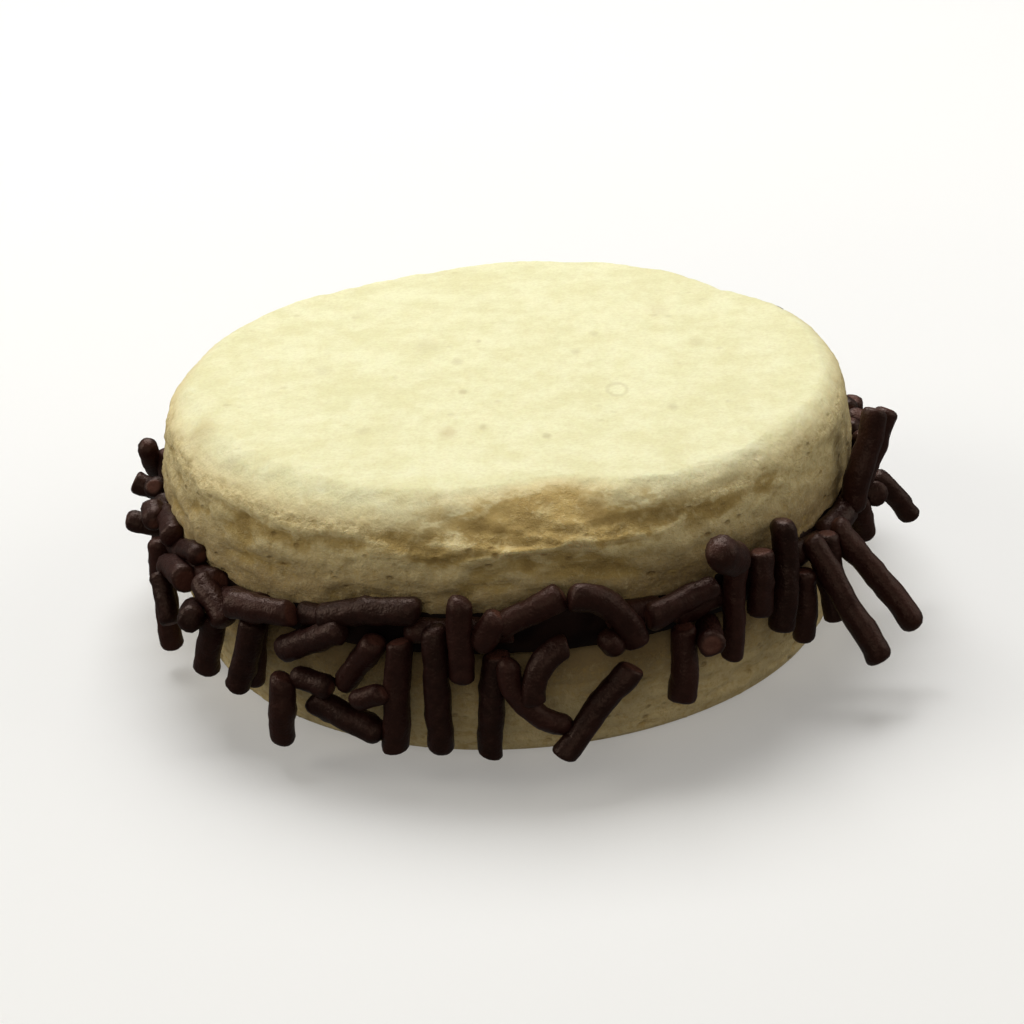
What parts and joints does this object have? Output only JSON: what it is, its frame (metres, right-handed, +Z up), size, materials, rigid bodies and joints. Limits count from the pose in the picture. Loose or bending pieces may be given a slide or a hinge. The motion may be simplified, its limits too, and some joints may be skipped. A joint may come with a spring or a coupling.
{
  "type": "alfajor",
  "caption": "Round sandwich of two pale crumbly biscuits round a sweet filling, with dark chocolate sprinkles pressed onto the filling's edge.",
  "frame": {"origin": "on the alfajor's axis, at the flat face of the bottom biscuit that it rests on", "axes": "+Z up through the two biscuits, with the shown side towards -Y"},
  "size_m": [0.0531, 0.0539, 0.017],
  "materials": {
    "lower_biscuit": "matt, fine-grained pale biscuit",
    "upper_biscuit": "matt, fine-grained pale biscuit with golden hollows",
    "chocolate": "satin dark chocolate",
    "caramel": "soft, sticky brown milk caramel"
  },
  "bodies": {
    "root": {"biscuit_bottom": "lower_biscuit", "biscuit_top": "upper_biscuit", "sprinkled_filling": "chocolate"}
  },
  "joints": []
}
